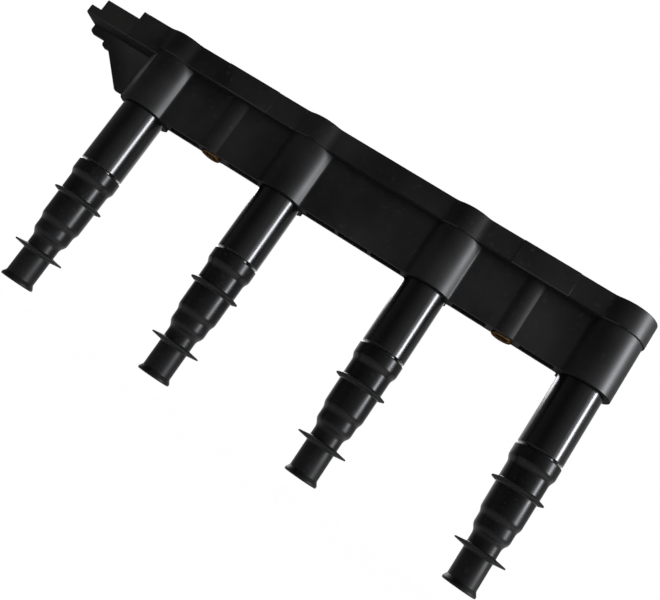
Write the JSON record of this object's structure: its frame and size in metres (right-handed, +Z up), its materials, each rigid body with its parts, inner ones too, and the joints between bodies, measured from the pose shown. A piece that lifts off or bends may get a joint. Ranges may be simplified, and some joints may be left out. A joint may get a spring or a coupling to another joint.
{
  "type": "ignition coil rail",
  "caption": "Long black moulded ignition coil rail with coil towers, glossy plug tubes and finned rubber spark plug boots in a row, bolted down through brass bushes, with an end connector.",
  "frame": {"origin": "midway between the two fixing bolts, on the plane of the bush feet that sit on the cylinder head", "axes": "+X along the rail away from the connector, +Z up out of the plug wells, -Y the side the picture shows"},
  "size_m": [0.3276, 0.0312, 0.1512],
  "materials": {
    "rail_plastic": "satin moulded black plastic",
    "tube_plastic": "glossy black plastic",
    "boot_rubber": "satin black silicone rubber",
    "seal_rubber": "matt black rubber",
    "bush_brass": "turned brass, a little tarnished",
    "contact_brass": "bright pressed brass",
    "copper_strip": "pressed copper",
    "copper_wire": "enamelled copper wire",
    "core_iron": "plain iron laminations",
    "bobbin_plastic": "cream plastic",
    "suppressor_ceramic": "unglazed ceramic",
    "spring_steel": "drawn spring wire",
    "circuit_board": "green board lacquer",
    "chip_resin": "matt black resin"
  },
  "bodies": {
    "rail": {"rail_housing": "rail_plastic", "top_cover": "rail_plastic", "cover_seal": "seal_rubber", "bolt_bush_1": "bush_brass", "bolt_bush_2": "bush_brass", "connector_shell": "rail_plastic", "terminal_pins": "contact_brass", "driver_board": "circuit_board", "driver_chips": "chip_resin", "bus_bars": "copper_strip", "coil_core_1": "core_iron", "coil_core_2": "core_iron", "coil_core_3": "core_iron", "coil_core_4": "core_iron", "primary_bobbin_1": "bobbin_plastic", "primary_bobbin_2": "bobbin_plastic", "primary_bobbin_3": "bobbin_plastic", "primary_bobbin_4": "bobbin_plastic", "primary_winding_1": "copper_wire", "primary_winding_2": "copper_wire", "primary_winding_3": "copper_wire", "primary_winding_4": "copper_wire", "secondary_bobbin_1": "bobbin_plastic", "secondary_bobbin_2": "bobbin_plastic", "secondary_bobbin_3": "bobbin_plastic", "secondary_bobbin_4": "bobbin_plastic", "secondary_winding_1": "copper_wire", "secondary_winding_2": "copper_wire", "secondary_winding_3": "copper_wire", "secondary_winding_4": "copper_wire", "terminal_post_1": "contact_brass", "terminal_post_2": "contact_brass", "terminal_post_3": "contact_brass", "terminal_post_4": "contact_brass", "suppressor_1": "suppressor_ceramic", "suppressor_2": "suppressor_ceramic", "suppressor_3": "suppressor_ceramic", "suppressor_4": "suppressor_ceramic", "plug_tube_1": "tube_plastic", "plug_tube_2": "tube_plastic", "plug_tube_3": "tube_plastic", "plug_tube_4": "tube_plastic", "contact_spring_1": "spring_steel", "contact_spring_2": "spring_steel", "contact_spring_3": "spring_steel", "contact_spring_4": "spring_steel"},
    "boot_1": {"plug_boot_1": "boot_rubber"},
    "contact_1": {"plug_contact_1": "contact_brass"},
    "boot_2": {"plug_boot_2": "boot_rubber"},
    "contact_2": {"plug_contact_2": "contact_brass"},
    "boot_3": {"plug_boot_3": "boot_rubber"},
    "contact_3": {"plug_contact_3": "contact_brass"},
    "boot_4": {"plug_boot_4": "boot_rubber"},
    "contact_4": {"plug_contact_4": "contact_brass"}
  },
  "joints": [
    {"name": "boot_1_pull", "type": "slide", "parent": "rail", "child": "boot_1", "axis": [0, 0, -1], "range_m": [0, 0.012]},
    {"name": "boot_2_pull", "type": "slide", "parent": "rail", "child": "boot_2", "axis": [0, 0, -1], "range_m": [0, 0.012]},
    {"name": "boot_3_pull", "type": "slide", "parent": "rail", "child": "boot_3", "axis": [0, 0, -1], "range_m": [0, 0.012]},
    {"name": "boot_4_pull", "type": "slide", "parent": "rail", "child": "boot_4", "axis": [0, 0, -1], "range_m": [0, 0.012]},
    {"name": "contact_1_press", "type": "slide", "parent": "rail", "child": "contact_1", "axis": [0, 0, 1], "range_m": [0, 0.006], "stiffness_N_per_m": 400, "deforming": ["contact_spring_1"]},
    {"name": "contact_2_press", "type": "slide", "parent": "rail", "child": "contact_2", "axis": [0, 0, 1], "range_m": [0, 0.006], "stiffness_N_per_m": 400, "deforming": ["contact_spring_2"]},
    {"name": "contact_3_press", "type": "slide", "parent": "rail", "child": "contact_3", "axis": [0, 0, 1], "range_m": [0, 0.006], "stiffness_N_per_m": 400, "deforming": ["contact_spring_3"]},
    {"name": "contact_4_press", "type": "slide", "parent": "rail", "child": "contact_4", "axis": [0, 0, 1], "range_m": [0, 0.006], "stiffness_N_per_m": 400, "deforming": ["contact_spring_4"]}
  ]
}
